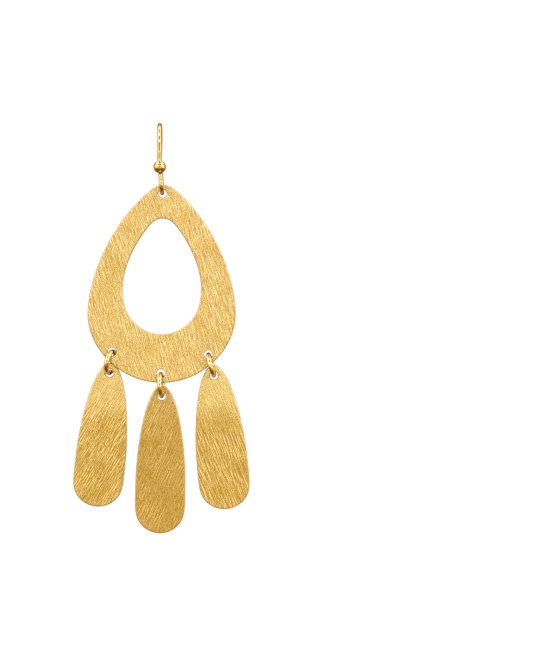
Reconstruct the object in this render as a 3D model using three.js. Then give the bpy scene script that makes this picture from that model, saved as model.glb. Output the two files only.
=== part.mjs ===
// Chandelier earring: an ear wire with a threaded ball, a pierced teardrop
// plate, and three paddle drops on jump rings.
//
// Millimetres, +Z up. The earring faces -Y and its ear wire bends in the YZ plane.
// The origin is the underside of the ear wire's arch, where it hangs in the ear.

import * as THREE from 'three';

const deg = THREE.MathUtils.degToRad;

// ---------------------------------------------------------------- sizes

// round wire of the ear wire and of the jump rings
const WIRE_D = 0.8;
const WIRE_SIDES = 10;

// ear wire
const ARCH_R = 3.6;            // mean radius of the arch
const STEM_FOOT_Z = -7.95;     // where the stem starts to kink into its loop
const KINK_R = 0.45;           // mean radius of that kink
const LOOP_R = 1.625;          // mean radius of the loop
const LOOP_X = 0.37;           // the loop's centre, off the stem's line
const LOOP_LEAN = deg(4.5);    // the loop's foot leans towards +X
const LOOP_END = deg(325);     // how far round the loop the wire runs
const TAIL_Z = -7.4;           // cut end of the tail
const TAIL_FLARE = 0.9;        // how far the tail's end stands back

// the stem's sideways line, from under the arch to the loop
const STEM_LINE = [
  { z: -3.2, x: 0.0 },
  { z: -5.0, x: 0.0 },
  { z: -6.1, x: 0.02 },
  { z: -7.1, x: 0.07 },
  { z: -7.6, x: 0.13 },
];

// ball threaded on the stem
const BEAD_R = 1.11;
const BEAD_BORE_R = 0.53;
const BEAD_Z = -7.06;
const BEAD_X = 0.075;
const BEAD_LEAN = deg(-6);

// flat plates
const PLATE_T = 0.7;
const PLATE_Y = -ARCH_R;       // middle plane of the teardrop and the centre drop
const SIDE_DROP_BACK = 0.82;   // the side drops hang this far behind that plane
const HOLE_R = 0.745;
const HOLE_SIDES = 24;

// Right half of a leaf outline, from its top down to its foot: a round tip of
// radius tipR through tipDeg, a curve to the widest point, a curve to the foot,
// and a round foot of radius footR through footDeg. The pulls are the lengths
// of the curves' tangents. top, wide and foot are heights about the leaf's middle.
const TEARDROP_OUTER = {
  top: 18.412, tipR: 3.163, tipDeg: 38.9, tipPull: 9.221, upPull: 6.21,
  halfWidth: 12.958, wide: -4.196, downPull: 5.287,
  footPull: 6.718, footR: 12.817, footDeg: 8.0, foot: -16.202,
};
const TEARDROP_OPENING = {
  top: 12.532, tipR: 2.525, tipDeg: 38.25, tipPull: 1.936, upPull: 5.068,
  halfWidth: 6.863, wide: 0.169, downPull: 4.097,
  footPull: 2.656, footR: 6.227, footDeg: 25.05, foot: -7.725,
};
const DROP_OUTLINE = {
  top: 12.883, tipR: 1.437, tipDeg: 50.4, tipPull: 3.912, upPull: 2.971,
  halfWidth: 4.359, wide: -3.664, downPull: 4.035,
  footPull: 1.874, footR: 4.326, footDeg: 54.4, foot: -12.954,
};

// teardrop: its middle, its lean about Y (positive swings the foot towards -X),
// and its holes about its middle
const TEARDROP = { x: 0.464, z: -28.62, lean: deg(0.8), openingX: -0.02 };
const TEARDROP_HOLES = [
  { name: 'top', x: -0.10, z: 16.9 },
  { name: 'left', x: -8.57, z: -10.87 },
  { name: 'center', x: 0.0, z: -14.56 },
  { name: 'right', x: 8.27, z: -11.12 },
];

// drops: where the hole is, its depth under the tip, lean about Y, and how far
// it stands behind the teardrop's plane. width and length scale the outline.
const DROP_HOLE_BELOW_TIP = 1.8;
const DROPS = [
  { name: 'left', x: -8.71, z: -43.10, lean: deg(6.03), back: SIDE_DROP_BACK, width: 1.009, length: 0.98 },
  { name: 'center', x: 0.45, z: -47.13, lean: deg(1.0), back: 0, width: 1.0, length: 1.0 },
  { name: 'right', x: 9.55, z: -43.55, lean: deg(-5.47), back: SIDE_DROP_BACK, width: 1.023, length: 0.979 },
];

// jump rings: x and z of the wire in the teardrop's hole, lean about Y, turn
// about the ring's own upright, and how far its foot stands back of its top
const RING_R = 1.9;
const RING_STEPS = 40;
const RINGS = [
  { name: 'left', x: -8.257, z: -39.39, lean: deg(6.9), turn: deg(22), back: SIDE_DROP_BACK },
  { name: 'center', x: 0.228, z: -43.32, lean: deg(-3.1), turn: deg(7.6), back: 0 },
  { name: 'right', x: 8.578, z: -39.93, lean: deg(-15.3), turn: deg(4), back: SIDE_DROP_BACK },
];

// ---------------------------------------------------------------- finishes

const polishedGold = () => new THREE.MeshStandardMaterial({ color: 0xe6b84e, metalness: 1, roughness: 0.12 });
const brushedGold = () => new THREE.MeshStandardMaterial({ color: 0xdcb36a, metalness: 1, roughness: 0.4 });

// ---------------------------------------------------------------- outlines

function cubic(a, b, c, d, n) {
  const curve = new THREE.CubicBezierCurve(a, b, c, d);
  return curve.getSpacedPoints(n).slice(1);
}

// the right half of a leaf, top to foot, as points
function halfLeaf(s, n) {
  const p = [];
  const tip = deg(s.tipDeg);
  for (let i = 0; i <= n.tip; i++) {
    const t = (tip * i) / n.tip;
    p.push(new THREE.Vector2(s.tipR * Math.sin(t), s.top - s.tipR * (1 - Math.cos(t))));
  }
  const tipEnd = p[p.length - 1];
  const foot = deg(s.footDeg);
  const footStart = new THREE.Vector2(s.footR * Math.sin(foot), s.foot + s.footR * (1 - Math.cos(foot)));
  const widest = new THREE.Vector2(s.halfWidth, s.wide);
  p.push(...cubic(
    tipEnd,
    new THREE.Vector2(tipEnd.x + s.tipPull * Math.cos(tip), tipEnd.y - s.tipPull * Math.sin(tip)),
    new THREE.Vector2(s.halfWidth, s.wide + s.upPull),
    widest, n.side));
  p.push(...cubic(
    widest,
    new THREE.Vector2(s.halfWidth, s.wide - s.downPull),
    new THREE.Vector2(footStart.x + s.footPull * Math.cos(foot), footStart.y + s.footPull * Math.sin(foot)),
    footStart, n.low));
  for (let i = 1; i <= n.foot; i++) {
    const t = foot * (1 - i / n.foot);
    p.push(new THREE.Vector2(s.footR * Math.sin(t), s.foot + s.footR * (1 - Math.cos(t))));
  }
  return p;
}

// the whole leaf, counterclockwise, scaled about its middle and moved by (dx, dz)
function leaf(s, n, { width = 1, length = 1, dx = 0, dz = 0 } = {}) {
  const right = halfLeaf(s, n);
  const left = right.slice(1, -1).reverse().map((q) => new THREE.Vector2(-q.x, q.y));
  return [...right, ...left].reverse().map((q) => new THREE.Vector2(q.x * width + dx, q.y * length + dz));
}

function circle(r, sides, x = 0, z = 0) {
  return Array.from({ length: sides }, (_, i) => {
    const a = (2 * Math.PI * i) / sides;
    return new THREE.Vector2(x + r * Math.cos(a), z + r * Math.sin(a));
  });
}

// a flat plate in the XZ plane with its middle plane at y = 0
function plate(outline, holes) {
  const shape = new THREE.Shape(outline);
  for (const h of holes) shape.holes.push(new THREE.Path(h));
  const g = new THREE.ExtrudeGeometry(shape, { depth: PLATE_T, steps: 1, bevelEnabled: false });
  g.translate(0, 0, -PLATE_T / 2);
  g.rotateX(Math.PI / 2);
  return g;
}

// ---------------------------------------------------------------- ear wire

// centreline of the ear wire, from the tail's cut end over the arch, down the
// stem, through the kink, and round the loop
function earWirePoints() {
  const p = [];
  const archZ = WIRE_D / 2 - ARCH_R;
  // tail, with a slight sideways set and a flare at its end
  const tailSteps = 6;
  for (let i = 0; i < tailSteps; i++) {
    const t = 1 - i / tailSteps;
    p.push(new THREE.Vector3(-0.14 * Math.sin(Math.PI * t), ARCH_R + TAIL_FLARE * t * t, archZ + (TAIL_Z - archZ) * t));
  }
  // arch, from back to front
  for (let i = 0; i <= 16; i++) {
    const a = (Math.PI * i) / 16;
    p.push(new THREE.Vector3(0, ARCH_R * Math.cos(a), archZ + ARCH_R * Math.sin(a)));
  }
  // stem
  for (const s of STEM_LINE.slice(1)) p.push(new THREE.Vector3(s.x, -ARCH_R, s.z));
  // kink towards the front, then the loop, both in the leaning loop plane
  const sinA = KINK_R / (LOOP_R + KINK_R);
  const a0 = Math.asin(sinA);
  const kinkAbove = LOOP_R * Math.cos(a0) + KINK_R * Math.cos(a0);
  const inLoop = (y, up) => new THREE.Vector3(
    LOOP_X - up * Math.sin(LOOP_LEAN), -ARCH_R + y, STEM_FOOT_Z - kinkAbove + up * Math.cos(LOOP_LEAN));
  const turn = Math.PI / 2 - a0;
  for (let i = 1; i <= 4; i++) {
    const t = (turn * i) / 4;
    p.push(inLoop(-KINK_R * (1 - Math.cos(t)), kinkAbove - KINK_R * Math.sin(t)));
  }
  for (let i = 1; i <= 30; i++) {
    const a = a0 + ((LOOP_END - a0) * i) / 30;
    p.push(inLoop(-LOOP_R * Math.sin(a), LOOP_R * Math.cos(a)));
  }
  return p;
}

// a smooth path whose sections sit at its own points, close together where it
// bends tightly and far apart where it is straight
class SectionPath extends THREE.CatmullRomCurve3 {
  getPointAt(u, target) { return this.getPoint(u, target); }
  getTangentAt(u, target) { return this.getTangent(u, target); }
  getSpacedPoints(n) { return this.getPoints(n); }
}

function earWire() {
  const points = earWirePoints();
  return new THREE.ExtrudeGeometry(new THREE.Shape(circle(WIRE_D / 2, WIRE_SIDES)), {
    steps: points.length - 1, bevelEnabled: false,
    extrudePath: new SectionPath(points, false, 'centripetal'),
  });
}

function bead() {
  const edge = Math.asin(BEAD_BORE_R / BEAD_R);
  const p = [];
  for (let i = 0; i <= 12; i++) {
    const a = edge + ((Math.PI - 2 * edge) * i) / 12;
    p.push(new THREE.Vector2(BEAD_R * Math.sin(a), -BEAD_R * Math.cos(a)));
  }
  p.push(p[0].clone());
  const g = new THREE.LatheGeometry(p, 24);
  g.rotateX(Math.PI / 2);
  return g;
}

function ring() {
  const g = new THREE.TorusGeometry(RING_R, WIRE_D / 2, WIRE_SIDES, RING_STEPS);
  g.rotateY(Math.PI / 2);
  return g;
}

// ---------------------------------------------------------------- assembly

function named(name, geometry, material) {
  const m = new THREE.Mesh(geometry, material);
  m.name = name;
  return m;
}

const earring = new THREE.Group();

earring.add(named('ear_hook', earWire(), polishedGold()));

const ball = named('hook_bead', bead(), polishedGold());
ball.position.set(BEAD_X, -ARCH_R, BEAD_Z);
ball.rotation.y = BEAD_LEAN;
earring.add(ball);

const teardrop = named('teardrop_frame', plate(
  leaf(TEARDROP_OUTER, { tip: 6, side: 15, low: 13, foot: 3 }),
  [
    leaf(TEARDROP_OPENING, { tip: 4, side: 9, low: 8, foot: 5 }, { dx: TEARDROP.openingX }),
    ...TEARDROP_HOLES.map((h) => circle(HOLE_R, HOLE_SIDES, h.x, h.z)),
  ]), brushedGold());
teardrop.position.set(TEARDROP.x, PLATE_Y, TEARDROP.z);
teardrop.rotation.y = TEARDROP.lean;
earring.add(teardrop);

for (const r of RINGS) {
  // hangs from the point where its wire passes the teardrop's hole
  const hang = new THREE.Group();
  hang.position.set(r.x, PLATE_Y, r.z);
  hang.rotation.order = 'YXZ';
  hang.rotation.set(Math.asin(r.back / (2 * RING_R)), r.lean, -r.turn);
  const m = named(`ring_${r.name}`, ring(), polishedGold());
  m.position.z = -RING_R;
  hang.add(m);
  earring.add(hang);
}

for (const d of DROPS) {
  // the mesh's own origin is the middle of its hole
  const holeAboveMiddle = DROP_OUTLINE.top * d.length - DROP_HOLE_BELOW_TIP;
  const m = named(`drop_${d.name}`, plate(
    leaf(DROP_OUTLINE, { tip: 6, side: 10, low: 7, foot: 6 }, { width: d.width, length: d.length, dz: -holeAboveMiddle }),
    [circle(HOLE_R, HOLE_SIDES)]), brushedGold());
  m.position.set(d.x, PLATE_Y + d.back, d.z);
  m.rotation.y = d.lean;
  earring.add(m);
}

export default earring;
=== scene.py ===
"""Chandelier earring: the looks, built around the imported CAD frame.

Metres, +Z up. The earring faces -Y. Lengths in the tables below are millimetres.
"""

import math

import bpy
import numpy as np
from mathutils import Matrix, Vector
from mathutils.geometry import delaunay_2d_cdt


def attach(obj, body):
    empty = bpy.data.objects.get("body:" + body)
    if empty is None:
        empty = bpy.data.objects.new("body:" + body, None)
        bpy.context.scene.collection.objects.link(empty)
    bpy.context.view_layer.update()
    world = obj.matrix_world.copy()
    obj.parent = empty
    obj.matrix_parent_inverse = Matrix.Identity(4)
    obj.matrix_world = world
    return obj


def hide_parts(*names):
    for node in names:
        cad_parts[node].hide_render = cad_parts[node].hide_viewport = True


MM = 0.001

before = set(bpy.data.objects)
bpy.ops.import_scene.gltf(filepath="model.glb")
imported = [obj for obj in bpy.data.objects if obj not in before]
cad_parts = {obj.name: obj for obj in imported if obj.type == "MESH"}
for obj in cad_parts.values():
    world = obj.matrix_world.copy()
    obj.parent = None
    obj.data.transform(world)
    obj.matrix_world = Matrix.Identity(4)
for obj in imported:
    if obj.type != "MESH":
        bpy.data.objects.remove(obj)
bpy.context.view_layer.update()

# ------------------------------------------------------------------ sizes (mm)

WIRE_R = 0.4
ARCH_R = 3.6
PLATE_T = 0.7
PLATE_Y = -ARCH_R
SIDE_DROP_BACK = 0.82
HOLE_R = 0.745
EDGE_ROUND = 0.22

TEARDROP_OUTER = dict(top=18.412, tipR=3.163, tipDeg=38.9, tipPull=9.221, upPull=6.21,
                      halfWidth=12.958, wide=-4.196, downPull=5.287,
                      footPull=6.718, footR=12.817, footDeg=8.0, foot=-16.202)
TEARDROP_OPENING = dict(top=12.532, tipR=2.525, tipDeg=38.25, tipPull=1.936, upPull=5.068,
                        halfWidth=6.863, wide=0.169, downPull=4.097,
                        footPull=2.656, footR=6.227, footDeg=25.05, foot=-7.725)
DROP_OUTLINE = dict(top=12.883, tipR=1.437, tipDeg=50.4, tipPull=3.912, upPull=2.971,
                    halfWidth=4.359, wide=-3.664, downPull=4.035,
                    footPull=1.874, footR=4.326, footDeg=54.4, foot=-12.954)
TEARDROP = dict(x=0.464, z=-28.62, lean=0.8, opening_x=-0.02)
TEARDROP_HOLES = [(-0.10, 16.9), (-8.57, -10.87), (0.0, -14.56), (8.27, -11.12)]
DROP_HOLE_BELOW_TIP = 1.8
DROPS = {
    "left": dict(x=-8.71, z=-43.10, lean=6.03, back=SIDE_DROP_BACK, width=1.009, length=0.98),
    "center": dict(x=0.45, z=-47.13, lean=1.0, back=0.0, width=1.0, length=1.0),
    "right": dict(x=9.55, z=-43.55, lean=-5.47, back=SIDE_DROP_BACK, width=1.023, length=0.979),
}
RING_R = 1.9
RINGS = {
    "left": dict(x=-8.257, z=-39.39, lean=6.9, turn=22.0, back=SIDE_DROP_BACK),
    "center": dict(x=0.228, z=-43.32, lean=-3.1, turn=7.6, back=0.0),
    "right": dict(x=8.578, z=-39.93, lean=-15.3, turn=4.0, back=SIDE_DROP_BACK),
}
BEAD = dict(r=1.11, bore=0.53, x=0.075, z=-7.06, lean=-6.0)

# ------------------------------------------------------------------ outlines


def cubic(a, b, c, d, n):
    a, b, c, d = (np.array(p, float) for p in (a, b, c, d))
    t = (np.arange(1, n + 1) / n)[:, None]
    return a * (1 - t) ** 3 + 3 * b * t * (1 - t) ** 2 + 3 * c * t * t * (1 - t) + d * t**3


def half_leaf(s, n):
    """The right half of a leaf outline, top to foot."""
    tip, foot = math.radians(s["tipDeg"]), math.radians(s["footDeg"])
    p = []
    for i in range(n[0] + 1):
        t = tip * i / n[0]
        p.append((s["tipR"] * math.sin(t), s["top"] - s["tipR"] * (1 - math.cos(t))))
    end = p[-1]
    foot_start = (s["footR"] * math.sin(foot), s["foot"] + s["footR"] * (1 - math.cos(foot)))
    widest = (s["halfWidth"], s["wide"])
    p += map(tuple, cubic(end, (end[0] + s["tipPull"] * math.cos(tip), end[1] - s["tipPull"] * math.sin(tip)),
                          (s["halfWidth"], s["wide"] + s["upPull"]), widest, n[1]))
    p += map(tuple, cubic(widest, (s["halfWidth"], s["wide"] - s["downPull"]),
                          (foot_start[0] + s["footPull"] * math.cos(foot),
                           foot_start[1] + s["footPull"] * math.sin(foot)), foot_start, n[2]))
    for i in range(1, n[3] + 1):
        t = foot * (1 - i / n[3])
        p.append((s["footR"] * math.sin(t), s["foot"] + s["footR"] * (1 - math.cos(t))))
    return p


def leaf(s, n, width=1.0, length=1.0, dx=0.0, dz=0.0):
    """The whole leaf, counterclockwise, as an array of (x, z)."""
    right = half_leaf(s, n)
    left = [(-x, z) for x, z in right[1:-1][::-1]]
    return np.array([(x * width + dx, z * length + dz) for x, z in (right + left)[::-1]])


def circle(r, n, x=0.0, z=0.0):
    return np.array([(x + r * math.cos(2 * math.pi * i / n), z + r * math.sin(2 * math.pi * i / n)) for i in range(n)])


# ------------------------------------------------------------------ meshes


def about_y(degrees):
    return Matrix.Rotation(math.radians(degrees), 4, "Y")


def make(name, verts, faces, normals=None, attributes=None, place=None):
    """A smooth mesh object. verts in mm in the piece's own frame, place a matrix in mm."""
    place = place or Matrix.Identity(4)
    me = bpy.data.meshes.new(name)
    m = np.array(place)
    co = (np.array(verts, float) @ m[:3, :3].T + m[:3, 3]) * MM
    me.from_pydata([tuple(v) for v in co], [], [tuple(f) for f in faces])
    me.polygons.foreach_set("use_smooth", [True] * len(me.polygons))
    for key, values in (attributes or {}).items():
        me.attributes.new(key, "FLOAT", "POINT").data.foreach_set("value", np.array(values, np.float32))
    me.update()
    if normals is not None:
        n = np.array(normals, float) @ m[:3, :3].T
        me.normals_split_custom_set_from_vertices([tuple(v) for v in n])
    o = bpy.data.objects.new(name, me)
    bpy.context.scene.collection.objects.link(o)
    return o


def outward(loop):
    """Unit normals at a loop's points, to the right of its direction."""
    ahead = np.roll(loop, -1, 0) - loop
    ahead /= np.linalg.norm(ahead, axis=1)[:, None]
    n = np.stack([ahead[:, 1], -ahead[:, 0]], 1)
    n = n + np.roll(n, 1, 0)
    return n / np.linalg.norm(n, axis=1)[:, None]


def inside(points, loop):
    x, z = points[:, 0], points[:, 1]
    hit = np.zeros(len(points), bool)
    for (x0, z0), (x1, z1) in zip(loop, np.roll(loop, -1, 0)):
        if z0 != z1:
            hit ^= ((z0 > z) != (z1 > z)) & (x < (x1 - x0) * (z - z0) / (z1 - z0) + x0)
    return hit


def distance_to(points, loop):
    """Shortest distance from each point to a closed loop."""
    best = np.full(len(points), 1e9)
    for a, b in zip(loop, np.roll(loop, -1, 0)):
        d = b - a
        t = np.clip(((points - a) @ d) / (d @ d), 0, 1)
        best = np.minimum(best, np.linalg.norm(points - a - t[:, None] * d, axis=1))
    return best


def plate(name, outer, holes, place, spacing=0.6, steps=5):
    """A flat plate with rounded edges. outer runs counterclockwise and holes clockwise, in mm.

    It carries three attributes: rim is 1 on the rounded edge and wall of the outline and the
    big opening, hole is 1 on those of the small holes, and under goes from 0 where an edge
    faces up to 1 where it faces down."""
    half, b = PLATE_T / 2, EDGE_ROUND
    verts, normals, rim, bore, under = [], [], [], [], []
    faces = []
    front_loops, back_loops = [], []
    for k, loop in enumerate([outer, *holes]):
        n2, n = outward(loop), len(loop)
        profile = []
        for side in (-1, 1):
            ring = []
            for i in range(steps + 1):
                phi = 0.5 * math.pi * i / steps
                ring.append((b * (1 - math.sin(phi)), side * (half - b * (1 - math.cos(phi))), math.sin(phi), side * math.cos(phi)))
            profile += ring if side < 0 else ring[::-1]
        start = len(verts)
        for inset, y, out, up in profile:
            p = loop - n2 * inset
            verts += [(x, y, z) for x, z in p]
            normals += [(out * nx, up, out * nz) for nx, nz in n2]
            edge = min(1.0, out * 1.6)
            rim += [edge if k < 2 and n > 100 else 0.0] * n
            bore += [edge if n <= 100 else 0.0] * n
            under += [0.5 - 0.5 * nz for _, nz in n2]
        for r in range(len(profile) - 1):
            for i in range(n):
                j = (i + 1) % n
                a = start + r * n
                faces.append((a + i, a + n + i, a + n + j, a + j))
        front_loops.append(list(range(start, start + n)))
        back_loops.append(list(range(start + (len(profile) - 1) * n, start + len(profile) * n)))

    # the flat faces: the loops' inner ends, and points between them on a staggered triangle grid
    flat = np.array(verts)[:, [0, 2]]
    bounds = [flat[f] for f in front_loops]
    lo, hi = bounds[0].min(0), bounds[0].max(0)
    step_z = spacing * math.sqrt(3) / 2
    grid = np.array([(x + (spacing / 2 if row % 2 else 0), z)
                     for row, z in enumerate(np.arange(lo[1], hi[1], step_z))
                     for x in np.arange(lo[0], hi[0], spacing)])
    keep = inside(grid, bounds[0]) & (distance_to(grid, bounds[0]) > 0.3 * spacing)
    for h in bounds[1:]:
        keep &= ~inside(grid, h) & (distance_to(grid, h) > 0.3 * spacing)
    grid = grid[keep]
    near_rim = distance_to(grid, bounds[0])
    near_hole = np.full(len(grid), 1e9)
    for h in bounds[1:]:
        near_hole = np.minimum(near_hole, distance_to(grid, h))

    edges, points = [], []
    for f in front_loops:
        s = len(points)
        points += [tuple(q) for q in flat[f]]
        edges += [(s + i, s + (i + 1) % len(f)) for i in range(len(f))]
    loop_count = len(points)
    points += [tuple(q) for q in grid]
    found = delaunay_2d_cdt([Vector(p) for p in points], edges, [], 0, 1e-7)
    out_points, _, out_faces, origins = found[0], found[1], found[2], found[3]
    front_of = [i for f in front_loops for i in f]
    back_of = [i for f in back_loops for i in f]
    grid_front, grid_back = {}, {}
    for g in range(len(grid)):
        for side, table in ((-1, grid_front), (1, grid_back)):
            table[g] = len(verts)
            verts.append((grid[g, 0], side * half, grid[g, 1]))
            normals.append((0.0, float(side), 0.0))
            rim.append(0.0)
            bore.append(0.0)
            under.append(0.5)
    centres = np.array([[sum(out_points[i][k] for i in f) / len(f) for k in (0, 1)] for f in out_faces])
    good = inside(centres, bounds[0])
    for h in bounds[1:]:
        good &= ~inside(centres, h)
    for f, ok in zip(out_faces, good):
        if not ok:
            continue
        ids = [origins[i][0] for i in f]
        front = [front_of[i] if i < loop_count else grid_front[i - loop_count] for i in ids]
        back = [back_of[i] if i < loop_count else grid_back[i - loop_count] for i in ids]
        faces.append(tuple(front))          # counterclockwise in (x, z) faces -Y
        faces.append(tuple(back[::-1]))
    return make(name, verts, faces, normals, {"rim": rim, "hole": bore, "under": under}, place)


def catmull(points, sub):
    """A centripetal Catmull-Rom line through the points, sub steps to a span."""
    p = [np.array(q, float) for q in points]
    p = [2 * p[0] - p[1], *p, 2 * p[-1] - p[-2]]
    line = [p[1]]
    for i in range(1, len(p) - 2):
        a, b, c, d = p[i - 1 : i + 3]
        t0, t1, t2 = (max(np.linalg.norm(v) ** 0.5, 1e-6) for v in (b - a, c - b, d - c))
        m1 = ((b - a) / t0 - (c - a) / (t0 + t1) + (c - b) / t1) * t1
        m2 = ((c - b) / t1 - (d - b) / (t1 + t2) + (d - c) / t2) * t1
        for k in range(1, sub + 1):
            t = k / sub
            line.append(b + m1 * t + (-3 * b + 3 * c - 2 * m1 - m2) * t * t + (2 * b - 2 * c + m1 + m2) * t**3)
    return np.array(line)


def tube(name, line, r, sides, ends, place=None, wave=None):
    """A round wire along a line of points, with its two cut ends rounded by ends[0] and ends[1]."""
    seg = np.linalg.norm(np.diff(line, axis=0), axis=1)
    arc = np.concatenate([[0], np.cumsum(seg)])
    total = arc[-1]
    at = [(e * (1 - math.cos(0.5 * math.pi * i / 8)), r - e + e * math.sin(0.5 * math.pi * i / 8))
          for e in ends[:1] for i in range(9)]
    tail = [(total - ends[1] * (1 - math.cos(0.5 * math.pi * i / 8)), r - ends[1] + ends[1] * math.sin(0.5 * math.pi * i / 8))
            for i in range(8, -1, -1)]
    middle = [(s, r) for s in arc if ends[0] * 1.05 < s < total - ends[1] * 1.05]
    stations = at + middle + tail
    s = np.array([q[0] for q in stations])
    pos = np.stack([np.interp(s, arc, line[:, k]) for k in range(3)], 1)
    fine = np.gradient(line, arc, axis=0)
    tan = np.stack([np.interp(s, arc, fine[:, k]) for k in range(3)], 1)
    tan /= np.linalg.norm(tan, axis=1)[:, None]
    side = np.cross(tan[0], (1.0, 0.0, 0.0))
    if np.linalg.norm(side) < 1e-3:
        side = np.cross(tan[0], (0.0, 0.0, 1.0))
    side /= np.linalg.norm(side)
    verts, faces = [], []
    for i, (p, t, (_, rad)) in enumerate(zip(pos, tan, stations)):
        side = side - t * (side @ t)
        side /= np.linalg.norm(side)
        up = np.cross(t, side)
        rad = max(rad, 1e-4)
        for k in range(sides):
            a = 2 * math.pi * k / sides
            verts.append(tuple(p + rad * (math.cos(a) * side + math.sin(a) * up)))
    rings = len(stations)
    for i in range(rings - 1):
        for k in range(sides):
            m = (k + 1) % sides
            faces.append((i * sides + k, i * sides + m, (i + 1) * sides + m, (i + 1) * sides + k))
    for end, at_ring in ((0, 0), (1, rings - 1)):
        verts.append(tuple(pos[at_ring]))
        c = len(verts) - 1
        for k in range(sides):
            m = (k + 1) % sides
            tri = (at_ring * sides + m, at_ring * sides + k, c)
            faces.append(tri if end == 0 else tri[::-1])
    return make(name, verts, faces, None, {"along": [q[0] for q in stations for _ in range(sides)] + [0.0, total]}, place)


# ------------------------------------------------------------------ ear wire, bead, rings


def ear_wire_line():
    arch_z = WIRE_R - ARCH_R
    p = []
    for i in range(6):
        t = 1 - i / 6
        p.append((-0.14 * math.sin(math.pi * t), ARCH_R + 0.9 * t * t, arch_z + (-7.4 - arch_z) * t))
    for i in range(17):
        a = math.pi * i / 16
        p.append((0.0, (ARCH_R + (0.20 if i > 8 else 0.0)) * math.cos(a), arch_z + ARCH_R * math.sin(a)))
    # the stem comes down just in front of the bead and leans back to it
    for z, x, bow in ((-4.1, 0, 0.20), (-4.35, 0, 0.19), (-4.75, 0, 0.145), (-5.2, 0, 0.085), (-5.65, 0, 0.025),
                      (-6.1, 0.02, 0), (-7.1, 0.07, 0), (-7.6, 0.13, 0)):
        p.append((x, -ARCH_R - bow, z))
    kink_r, loop_r, loop_x, foot_z, lean = 0.45, 1.625, 0.37, -7.95, math.radians(4.5)
    a0 = math.asin(kink_r / (loop_r + kink_r))
    above = (loop_r + kink_r) * math.cos(a0)

    def in_loop(y, up):
        return (loop_x - up * math.sin(lean), -ARCH_R + y, foot_z - above + up * math.cos(lean))

    turn = 0.5 * math.pi - a0
    for i in range(1, 5):
        t = turn * i / 4
        p.append(in_loop(-kink_r * (1 - math.cos(t)), above - kink_r * math.sin(t)))
    for i in range(1, 31):
        a = a0 + (math.radians(325) - a0) * i / 30
        p.append(in_loop(-loop_r * math.sin(a), loop_r * math.cos(a)))
    return catmull(p, 6)


def bead_mesh():
    r, bore = BEAD["r"], BEAD["bore"]
    a0 = math.asin(bore / r) + 0.07
    profile = [(r * math.sin(a), -r * math.cos(a)) for a in np.linspace(a0, math.pi - a0, 49)]
    h = math.sqrt(r * r - bore * bore)
    for sign, part in ((1, range(1, 6)), ):
        top = profile[-1]
        inner = (bore, h - 0.09)
        for i in part:
            t = i / 5
            q = [(1 - t) ** 2 * top[k] + 2 * t * (1 - t) * (bore, h)[k] + t * t * inner[k] for k in (0, 1)]
            profile.append(tuple(q))
    profile += [(bore, z) for z in np.linspace(h - 0.2, -(h - 0.2), 7)]
    foot = profile[0]
    inner = (bore, -(h - 0.09))
    for i in range(0, 5):
        t = 1 - i / 5
        q = [(1 - t) ** 2 * foot[k] + 2 * t * (1 - t) * (bore, -h)[k] + t * t * inner[k] for k in (0, 1)]
        profile.append(tuple(q))
    n, m = 72, len(profile)
    verts = [(x * math.cos(2 * math.pi * k / n), x * math.sin(2 * math.pi * k / n), z) for k in range(n) for x, z in profile]
    faces = [(k * m + i, ((k + 1) % n) * m + i, ((k + 1) % n) * m + (i + 1) % m, k * m + (i + 1) % m)
             for k in range(n) for i in range(m)]
    place = Matrix.Translation((BEAD["x"], PLATE_Y, BEAD["z"])) @ about_y(BEAD["lean"])
    return make("gold_bead", verts, faces, place=place)


def ring_mesh(name, r):
    gap = 0.035 / RING_R
    a = np.linspace(gap / 2, 2 * math.pi - gap / 2, 145)
    line = np.stack([0 * a, RING_R * np.cos(a), RING_R * np.sin(a)], 1)
    place = (Matrix.Translation((r["x"], PLATE_Y, r["z"])) @ about_y(r["lean"])
             @ Matrix.Rotation(math.asin(r["back"] / (2 * RING_R)), 4, "X")
             @ Matrix.Rotation(math.radians(-r["turn"]), 4, "Z")
             @ Matrix.Translation((0, 0, -RING_R)))
    return tube(f"jump_ring_{name}", line, WIRE_R, 32, (0.04, 0.04), place)


# ------------------------------------------------------------------ node helpers


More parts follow.
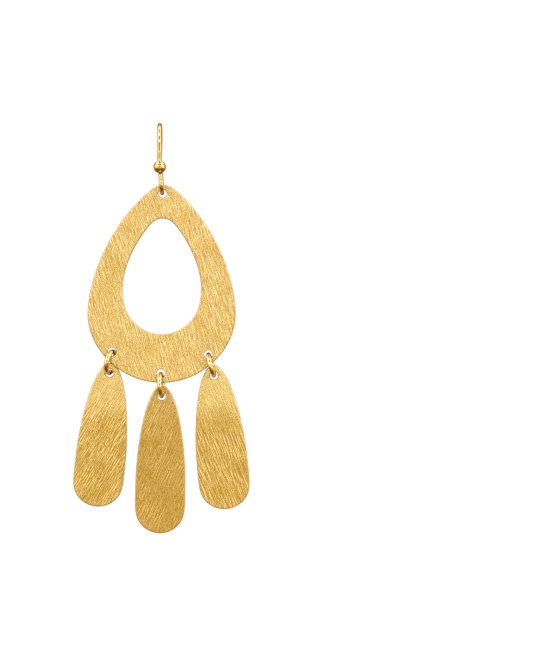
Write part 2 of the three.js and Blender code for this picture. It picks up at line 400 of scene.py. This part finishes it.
class Nodes:
    """Adds nodes to a tree. A number, a colour or a socket may be given for any input."""

    def __init__(self, tree):
        self.tree = tree
        tree.nodes.clear()

    def put(self, socket, value):
        if isinstance(value, bpy.types.NodeSocket):
            self.tree.links.new(value, socket)
        elif value is not None:
            socket.default_value = value

    def add(self, kind, inputs=None, **settings):
        n = self.tree.nodes.new(kind)
        for k, v in settings.items():
            setattr(n, k, v)
        for k, v in (inputs or {}).items():
            self.put(n.inputs[k], v)
        return n

    def math(self, op, a, b=None, c=None, clamp=False):
        n = self.add("ShaderNodeMath", operation=op, use_clamp=clamp)
        for i, v in enumerate((a, b, c)):
            self.put(n.inputs[i], v)
        return n.outputs[0]

    def step(self, value, lo, hi, out_lo=0.0, out_hi=1.0):
        n = self.add("ShaderNodeMapRange", {"Value": value, "From Min": lo, "From Max": hi, "To Min": out_lo, "To Max": out_hi},
                     interpolation_type="SMOOTHSTEP")
        return n.outputs["Result"]

    def mix(self, factor, a, b, blend="MIX"):
        n = self.add("ShaderNodeMix", data_type="RGBA", blend_type=blend, clamp_factor=True)
        self.put(n.inputs["Factor"], factor)
        self.put(n.inputs[6], a)
        self.put(n.inputs[7], b)
        return n.outputs[2]

    def ramp(self, value, stops):
        n = self.add("ShaderNodeValToRGB", {"Fac": value})
        while len(n.color_ramp.elements) < len(stops):
            n.color_ramp.elements.new(1.0)
        for e, (position, colour) in zip(n.color_ramp.elements, stops):
            e.position, e.color = position, (*colour, 1.0)
        return n.outputs["Color"]

    def noise(self, vector, scale=1.0, detail=2.0, rough=0.5, distortion=0.0):
        return self.add("ShaderNodeTexNoise", {"Vector": vector, "Scale": scale, "Detail": detail, "Roughness": rough,
                                               "Distortion": distortion}, noise_dimensions="3D").outputs["Fac"]

    def mapped(self, vector, location=(0, 0, 0), rotation=(0, 0, 0), scale=(1, 1, 1)):
        return self.add("ShaderNodeMapping", {"Vector": vector, "Location": location, "Rotation": rotation,
                                              "Scale": scale}).outputs[0]


def srgb(r, g, b):
    return tuple((c / 255 / 12.92) if c <= 10 else ((c / 255 + 0.055) / 1.055) ** 2.4 for c in (r, g, b)) + (1.0,)


def strokes(n, where, angle, width, length, seed, detail=1.0, spread=0.0):
    """Noise drawn out along a direction in the XZ plane, and how far its slope across that faces up, both about 0.5.
    angle is degrees from upright, positive towards +X at the top."""
    turned = n.mapped(where, rotation=(0, math.radians(-angle), 0))
    here = [n.noise(n.mapped(turned, location=(seed * 7.13 + shift, seed * 3.7, seed * 5.31),
                             scale=(0.5 / width, 0.9, 0.5 / length)), 1.0, detail, 0.5, spread) for shift in (0.0, 0.42)]
    slope = n.math("MULTIPLY_ADD", n.math("SUBTRACT", here[1], here[0]), math.copysign(1.6, angle), 0.5)
    return here[0], slope


def brushed_gold(name, seed, layers, tones, edge_shade_tones, painted_top_light, rough=(0.38, 0.46), bump=1.0):
    """Scratch-brushed gold, with light and shade painted into its colour. layers are (angle, width, length, weight,
    patch), in degrees and mm, tones the deep, base, light and painted highlight colours, and the sixth argument the
    two heights in mm between which the top is painted lighter, a painted highlight, and how much."""
    mat = bpy.data.materials.new(name)
    mat.use_nodes = True
    n = Nodes(mat.node_tree)
    where = n.add("ShaderNodeVectorMath", {0: n.add("ShaderNodeTexCoord").outputs["Object"], 1: (1000, 1000, 1000)},
                  operation="MULTIPLY").outputs[0]
    rim = n.add("ShaderNodeAttribute", attribute_name="rim").outputs["Fac"]
    hole = n.add("ShaderNodeAttribute", attribute_name="hole").outputs["Fac"]
    under = n.add("ShaderNodeAttribute", attribute_name="under").outputs["Fac"]

    height, light, dark = None, None, None
    for k, (angle, width, length, weight, patch) in enumerate(layers):
        s, slope = strokes(n, where, angle, width, length, seed + k)
        where_on = n.noise(n.mapped(where, location=(seed * 2.1 + k * 9.7, 0, k * 4.3)), patch, 1.0, 0.4)
        on = n.math("MULTIPLY", n.step(where_on, 0.34, 0.58, 0.5, 1.0), weight)
        # painted light: the stroke slope that faces up is masked for a painted highlight, the slope that faces down
        # for painted shade
        up = n.math("MULTIPLY", n.step(slope, 0.53, 0.68), on)
        down = n.math("MULTIPLY", n.step(slope, 0.47, 0.32), on)
        relief = n.math("MULTIPLY", n.step(s, 0.36, 0.64, -0.5, 0.5), on)
        light = up if light is None else n.math("MAXIMUM", light, up)
        dark = down if dark is None else n.math("MAXIMUM", dark, down)
        height = relief if height is None else n.math("ADD", height, relief)
    grain = n.noise(n.mapped(where, location=(seed, seed, seed), rotation=(0, math.radians(-layers[0][0]), 0),
                             scale=(1, 1, 0.5)), 5.4, 1.5, 0.55)
    cloud = n.noise(n.mapped(where, location=(0, seed * 3.0, 0)), 0.16, 2.0, 0.5)

    deep, base, pale, painted_highlight = tones
    colour = n.mix(n.step(grain, 0.34, 0.66), deep, pale)
    colour = n.mix(0.62, base, colour)
    # painted shade on the strokes' down-facing slopes, then a painted highlight on their up-facing ones
    colour = n.mix(n.math("MULTIPLY", dark, 0.95), colour, deep)
    colour = n.mix(n.math("MULTIPLY", light, 0.85), colour, painted_highlight)
    colour = n.mix(n.step(cloud, 0.35, 0.7, 0.0, 0.07), colour, deep)
    # painted highlight: the colour is painted lighter towards the top of the plate, where the light from above falls
    height_at = n.add("ShaderNodeSeparateXYZ", {0: where}).outputs["Z"]
    colour = n.mix(n.step(height_at, *painted_top_light[:2], 0.0, painted_top_light[2]), colour, painted_highlight)
    # painted shade on the rounded edges: a greyer tone where an edge faces up, to damp its glow, and a browner one
    # where it faces down
    painted_edge_shade = n.mix(n.step(under, 0.35, 0.65), edge_shade_tones[0], edge_shade_tones[1])
    colour = n.mix(n.math("MULTIPLY", rim, 0.9), colour, painted_edge_shade)
    # painted highlight on the small holes' lips, then dark brown painted shade on their walls
    colour = n.mix(n.math("MULTIPLY", n.step(hole, 0.0, 0.35), 0.8), colour, painted_highlight)
    colour = n.mix(n.step(hole, 0.55, 1.0, 0.0, 0.9), colour, srgb(150, 92, 30))

    roughness = n.math("ADD", n.step(grain, 0.3, 0.7, rough[0], rough[1]), n.math("MULTIPLY", light, -0.02))
    total = n.math("ADD", n.math("MULTIPLY", height, 1.0), n.math("MULTIPLY", grain, 0.45))
    normal = n.add("ShaderNodeBump", {"Height": total, "Strength": 1.0, "Distance": 0.00008 * bump}).outputs[0]

    shader = n.add("ShaderNodeBsdfPrincipled", {"Base Color": colour, "Metallic": 1.0, "Roughness": roughness,
                                                "Normal": normal})
    n.add("ShaderNodeOutputMaterial", {"Surface": shader.outputs[0]})
    return mat


def polished_gold(name, seed, tone=(219, 202, 152)):
    """Bright plated gold with a faint, uneven polish and small nicks."""
    mat = bpy.data.materials.new(name)
    mat.use_nodes = True
    n = Nodes(mat.node_tree)
    where = n.add("ShaderNodeVectorMath", {0: n.add("ShaderNodeTexCoord").outputs["Object"], 1: (1000, 1000, 1000)},
                  operation="MULTIPLY").outputs[0]
    cloud = n.noise(n.mapped(where, location=(seed, seed * 2, 0)), 0.9, 3.0, 0.55)
    fine = n.noise(n.mapped(where, location=(0, seed, seed)), 9.0, 2.0, 0.6)
    scratch = n.noise(n.mapped(where, location=(seed, 0, 0), rotation=(0.3, 0.5, 0.2), scale=(9, 9, 1.1)), 1.0, 1.0, 0.5)
    r, g, b = tone
    colour = n.mix(n.step(cloud, 0.3, 0.7), srgb(r - 12, g - 16, b - 22), srgb(min(255, r + 6), g + 8, b + 12))
    colour = n.mix(n.step(scratch, 0.66, 0.8, 0.0, 0.35), colour, srgb(r - 40, g - 44, b - 34))
    roughness = n.math("ADD", n.step(cloud, 0.3, 0.7, 0.03, 0.07), n.step(scratch, 0.6, 0.8, 0.0, 0.08))
    total = n.math("ADD", n.math("MULTIPLY", cloud, 0.8), n.math("MULTIPLY", fine, 0.10))
    normal = n.add("ShaderNodeBump", {"Height": total, "Strength": 0.25, "Distance": 0.00006}).outputs[0]
    shader = n.add("ShaderNodeBsdfPrincipled", {"Base Color": colour, "Metallic": 1.0, "Roughness": roughness,
                                                "Normal": normal})
    n.add("ShaderNodeOutputMaterial", {"Surface": shader.outputs[0]})
    return mat


# ------------------------------------------------------------------ pieces

LEAF_FINE = (20, 90, 60, 16)
DROP_FINE = (18, 60, 36, 24)

hook = tube("ear_hook_wire", ear_wire_line(), WIRE_R, 32, (0.38, 0.16))
bead = bead_mesh()
rings = {k: ring_mesh(k, r) for k, r in RINGS.items()}

teardrop = plate(
    "teardrop_plate", leaf(TEARDROP_OUTER, LEAF_FINE),
    [leaf(TEARDROP_OPENING, LEAF_FINE, dx=TEARDROP["opening_x"])[::-1],
     *[circle(HOLE_R, 48, x, z)[::-1] for x, z in TEARDROP_HOLES]],
    Matrix.Translation((TEARDROP["x"], PLATE_Y, TEARDROP["z"])) @ about_y(TEARDROP["lean"]))

drops = {}
for key, d in DROPS.items():
    above = DROP_OUTLINE["top"] * d["length"] - DROP_HOLE_BELOW_TIP
    drops[key] = plate(
        f"drop_plate_{key}", leaf(DROP_OUTLINE, DROP_FINE, width=d["width"], length=d["length"], dz=-above),
        [circle(HOLE_R, 48)[::-1]],
        Matrix.Translation((d["x"], PLATE_Y + d["back"], d["z"])) @ about_y(d["lean"]))

# each finish's tones: deep, base, light, and the painted highlight tone laid on the strokes' up-facing slopes, the
# hole lips and the lighter top
TEARDROP_TONES = (srgb(193, 154, 51), srgb(219, 192, 109), srgb(231, 211, 136), srgb(249, 242, 196))
DROP_TONES = (srgb(167, 128, 26), srgb(199, 165, 73), srgb(213, 185, 98), srgb(241, 226, 163))
CENTER_TONES = (srgb(173, 137, 40), srgb(196, 163, 77), srgb(206, 177, 99), srgb(224, 204, 142))
# painted shade for the plates' rounded edges, greyer where they face up and browner where they face down
EDGE_SHADE = (srgb(186, 168, 132), srgb(176, 134, 50))

teardrop.data.materials.append(brushed_gold(
    "teardrop_gold", 1.0,
    [(-17, 0.12, 1.25, 1.0, 0.25), (-9, 0.10, 0.8, 0.75, 0.3), (22, 0.085, 0.45, 0.35, 0.25), (-42, 0.085, 0.45, 0.35, 0.3)],
    TEARDROP_TONES, EDGE_SHADE, (-22, -12, 0.06), bump=0.26))
drops["left"].data.materials.append(brushed_gold(
    "drop_left_gold", 4.0, [(33, 0.10, 1.2, 1.0, 0.3), (24, 0.09, 0.7, 0.6, 0.4), (-12, 0.09, 0.4, 0.25, 0.4)], DROP_TONES, EDGE_SHADE,
    (-54, -45, 0.50), bump=0.34))
drops["center"].data.materials.append(brushed_gold(
    "drop_center_gold", 7.0, [(25, 0.095, 1.0, 0.9, 0.3), (17, 0.085, 0.6, 0.6, 0.4), (-10, 0.085, 0.4, 0.25, 0.4)], CENTER_TONES, EDGE_SHADE,
    (-56, -48, 0.14), bump=0.23))
drops["right"].data.materials.append(brushed_gold(
    "drop_right_gold", 10.0, [(-22, 0.10, 1.4, 1.0, 0.3), (-15, 0.09, 0.8, 0.6, 0.4), (18, 0.09, 0.4, 0.25, 0.4)], DROP_TONES, EDGE_SHADE,
    (-54, -45, 0.56), bump=0.36))
hook.data.materials.append(polished_gold("hook_gold", 3.0, (208, 188, 140)))
bead.data.materials.append(polished_gold("bead_gold", 5.0, (208, 186, 132)))
for i, (key, o) in enumerate(rings.items()):
    o.data.materials.append(polished_gold(f"ring_{key}_gold", 8.0 + 3 * i))

RIDES = [
    (hook, "ear_wire", "ear_hook", "polished_gold"),
    (bead, "ear_wire", "hook_bead", "polished_gold"),
    (teardrop, "teardrop", "teardrop_frame", "brushed_gold"),
    *[(rings[k], "teardrop", f"ring_{k}", "polished_gold") for k in RINGS],
    *[(drops[k], f"{k}_drop", f"drop_{k}", "brushed_gold") for k in DROPS],
]
for piece, body, node, finish in RIDES:
    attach(piece, body)
    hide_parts(node)

# ------------------------------------------------------------------ stage, light, camera

floor_mesh = bpy.data.meshes.new("studio_floor")
rim_points = [(1.6 * math.cos(2 * math.pi * i / 96), 1.6 * math.sin(2 * math.pi * i / 96), -0.80) for i in range(96)]
floor_mesh.from_pydata(rim_points, [], [tuple(range(96))])
floor = bpy.data.objects.new("studio_floor", floor_mesh)
bpy.context.scene.collection.objects.link(floor)
floor.visible_glossy = False
paper = bpy.data.materials.new("studio_paper")
paper.use_nodes = True
pn = Nodes(paper.node_tree)
speckle = pn.mix(pn.noise(pn.add("ShaderNodeTexCoord").outputs["Object"], 14.0, 3.0, 0.6), srgb(240, 239, 237), srgb(247, 246, 245))
pn.add("ShaderNodeOutputMaterial", {"Surface": pn.add("ShaderNodeBsdfPrincipled", {"Base Color": speckle, "Roughness": 0.9}).outputs[0]})
floor_mesh.materials.append(paper)

world = bpy.data.worlds.new("studio")
bpy.context.scene.world = world
world.use_nodes = True
w = Nodes(world.node_tree)
direction = w.add("ShaderNodeTexCoord").outputs["Generated"]
part = w.add("ShaderNodeSeparateXYZ", {0: direction})
dx, dy, dz = part.outputs


def patch(towards, inner, outer, level):
    """A round soft patch in a direction, with its full and its last radius in degrees."""
    v = Vector(towards).normalized()
    near = w.add("ShaderNodeVectorMath", {0: direction, 1: tuple(v)}, operation="DOT_PRODUCT").outputs["Value"]
    return w.step(near, math.cos(math.radians(outer)), math.cos(math.radians(inner)), 0.0, level)


def times(*factors):
    out = factors[0]
    for f in factors[1:]:
        out = w.math("MULTIPLY", out, f)
    return out


def plus(*terms):
    out = terms[0]
    for t in terms[1:]:
        out = w.math("ADD", out, t)
    return out


# a white tent in front and above with a dark camera and a crossbar in it, a
# golden room at the sides and behind, and a darker, warmer floor
front = w.step(dy, 0.10, -0.35)
aside = w.math("ABSOLUTE", dx)


def bar(half_width, low, high, dark, soft=0.06):
    """What is left of the light in a dark bar across the front, |x| and z in direction cosines."""
    inside_bar = times(w.step(aside, half_width + soft, half_width - soft), w.step(dz, low - soft, low + soft),
                       w.step(dz, high + soft, high - soft), w.step(dy, 0.3, 0.1), dark)
    return w.math("SUBTRACT", 1.0, inside_bar)


room = times(w.step(dy, 0.8, 0.1, 0.45, 1.0), w.step(dz, -0.50, 0.0, 0.50, 1.0), w.step(dz, -0.95, -0.55, 0.4, 1.0))
tent = times(w.math("MAXIMUM", front, w.step(dz, 0.5, 0.8)), w.step(dz, -0.34, 0.02), w.step(dy, 0.85, 0.35), w.step(dz, 0.1, 0.6, 0.45, 0.8))
level = times(plus(room, tent),
              bar(0.40, -0.05, 0.24, 0.86),
              bar(0.48, 0.50, 0.76, 0.90),
              w.math("SUBTRACT", 1.0, patch((0, -0.17, 0.98), 12, 20, 0.9)),
              w.math("SUBTRACT", 1.0, patch((-0.70, -0.31, -0.62), 10, 20, 0.93)),
              w.math("SUBTRACT", 1.0, patch((0.70, -0.31, -0.62), 10, 20, 0.93)))
# the dimmer the light, the browner it is, as gold reflects its own colour in a gold-lit room
tint = w.ramp(w.math("DIVIDE", level, 1.5), [
    (0.00, (1.0, 0.14, 0.01)), (0.14, (1.0, 0.37, 0.034)), (0.30, (1.0, 0.51, 0.06)), (0.51, (1.0, 0.70, 0.27)),
    (0.67, (1.0, 0.77, 0.35)), (0.80, (1.0, 0.97, 0.90)), (1.00, (1.0, 0.99, 0.97))])
seen = w.add("ShaderNodeLightPath").outputs["Is Camera Ray"]
strength = w.add("ShaderNodeMix", data_type="FLOAT")
w.put(strength.inputs["Factor"], seen)
w.put(strength.inputs[2], w.math("MULTIPLY", level, 1.3))
w.put(strength.inputs[3], 1.0)
w.add("ShaderNodeOutputWorld", {"Surface": w.add("ShaderNodeBackground", {
    "Color": w.mix(seen, tint, (1, 1, 1, 1)), "Strength": strength.outputs[0]}).outputs[0]})


plate_group = bpy.data.collections.new("plates")
for o in (teardrop, *drops.values()):
    plate_group.objects.link(o)


def softbox(name, at, aim, size, watts, colour=None):
    """A soft area light. With a colour it lights the brushed plates alone, so that no wire mirrors it."""
    light = bpy.data.lights.new(name, "AREA")
    light.shape = "RECTANGLE"
    light.size, light.size_y = size
    light.energy = watts
    o = bpy.data.objects.new(name, light)
    bpy.context.scene.collection.objects.link(o)
    o.location = at
    o.rotation_euler = (Vector(aim) - Vector(at)).to_track_quat("-Z", "Y").to_euler()
    o.visible_camera = False
    if colour:
        light.color = colour
        o.light_linking.receiver_collection = plate_group
    else:
        o.visible_glossy = False


softbox("soft_top", (0.0, 0.05, 0.9), (0, 0, -0.8), (1.0, 1.0), 8.0)
softbox("soft_rear", (0.0, 1.1, 0.0), (0, 0, -0.03), (3.2, 1.8), 14.0, (0.97, 1.0, 0.95))
softbox("soft_low", (0.0, -0.25, -0.75), (0, 0, -0.03), (2.2, 1.6), 7.0, (1.0, 0.92, 0.60))

bpy.context.scene.view_settings.view_transform = "Standard"
bpy.context.scene.view_settings.look = "None"
bpy.context.scene.cycles.use_denoising = False

# the photograph's frame, 533 x 653, covers 93.3 x 114.3 mm at the plates' plane
DISTANCE = 0.8
cam_data = bpy.data.cameras.new("camera")
cam_data.sensor_fit = "AUTO"
cam_data.sensor_width = 36.0
cam_data.lens = 36.0 * DISTANCE / 0.114275
cam_data.clip_start, cam_data.clip_end = 0.01, 20.0
camera = bpy.data.objects.new("camera", cam_data)
bpy.context.scene.collection.objects.link(camera)
camera.location = (0.01876, PLATE_Y * MM - DISTANCE, -0.03498)
camera.rotation_euler = (math.pi / 2, 0, 0)
bpy.context.scene.camera = camera
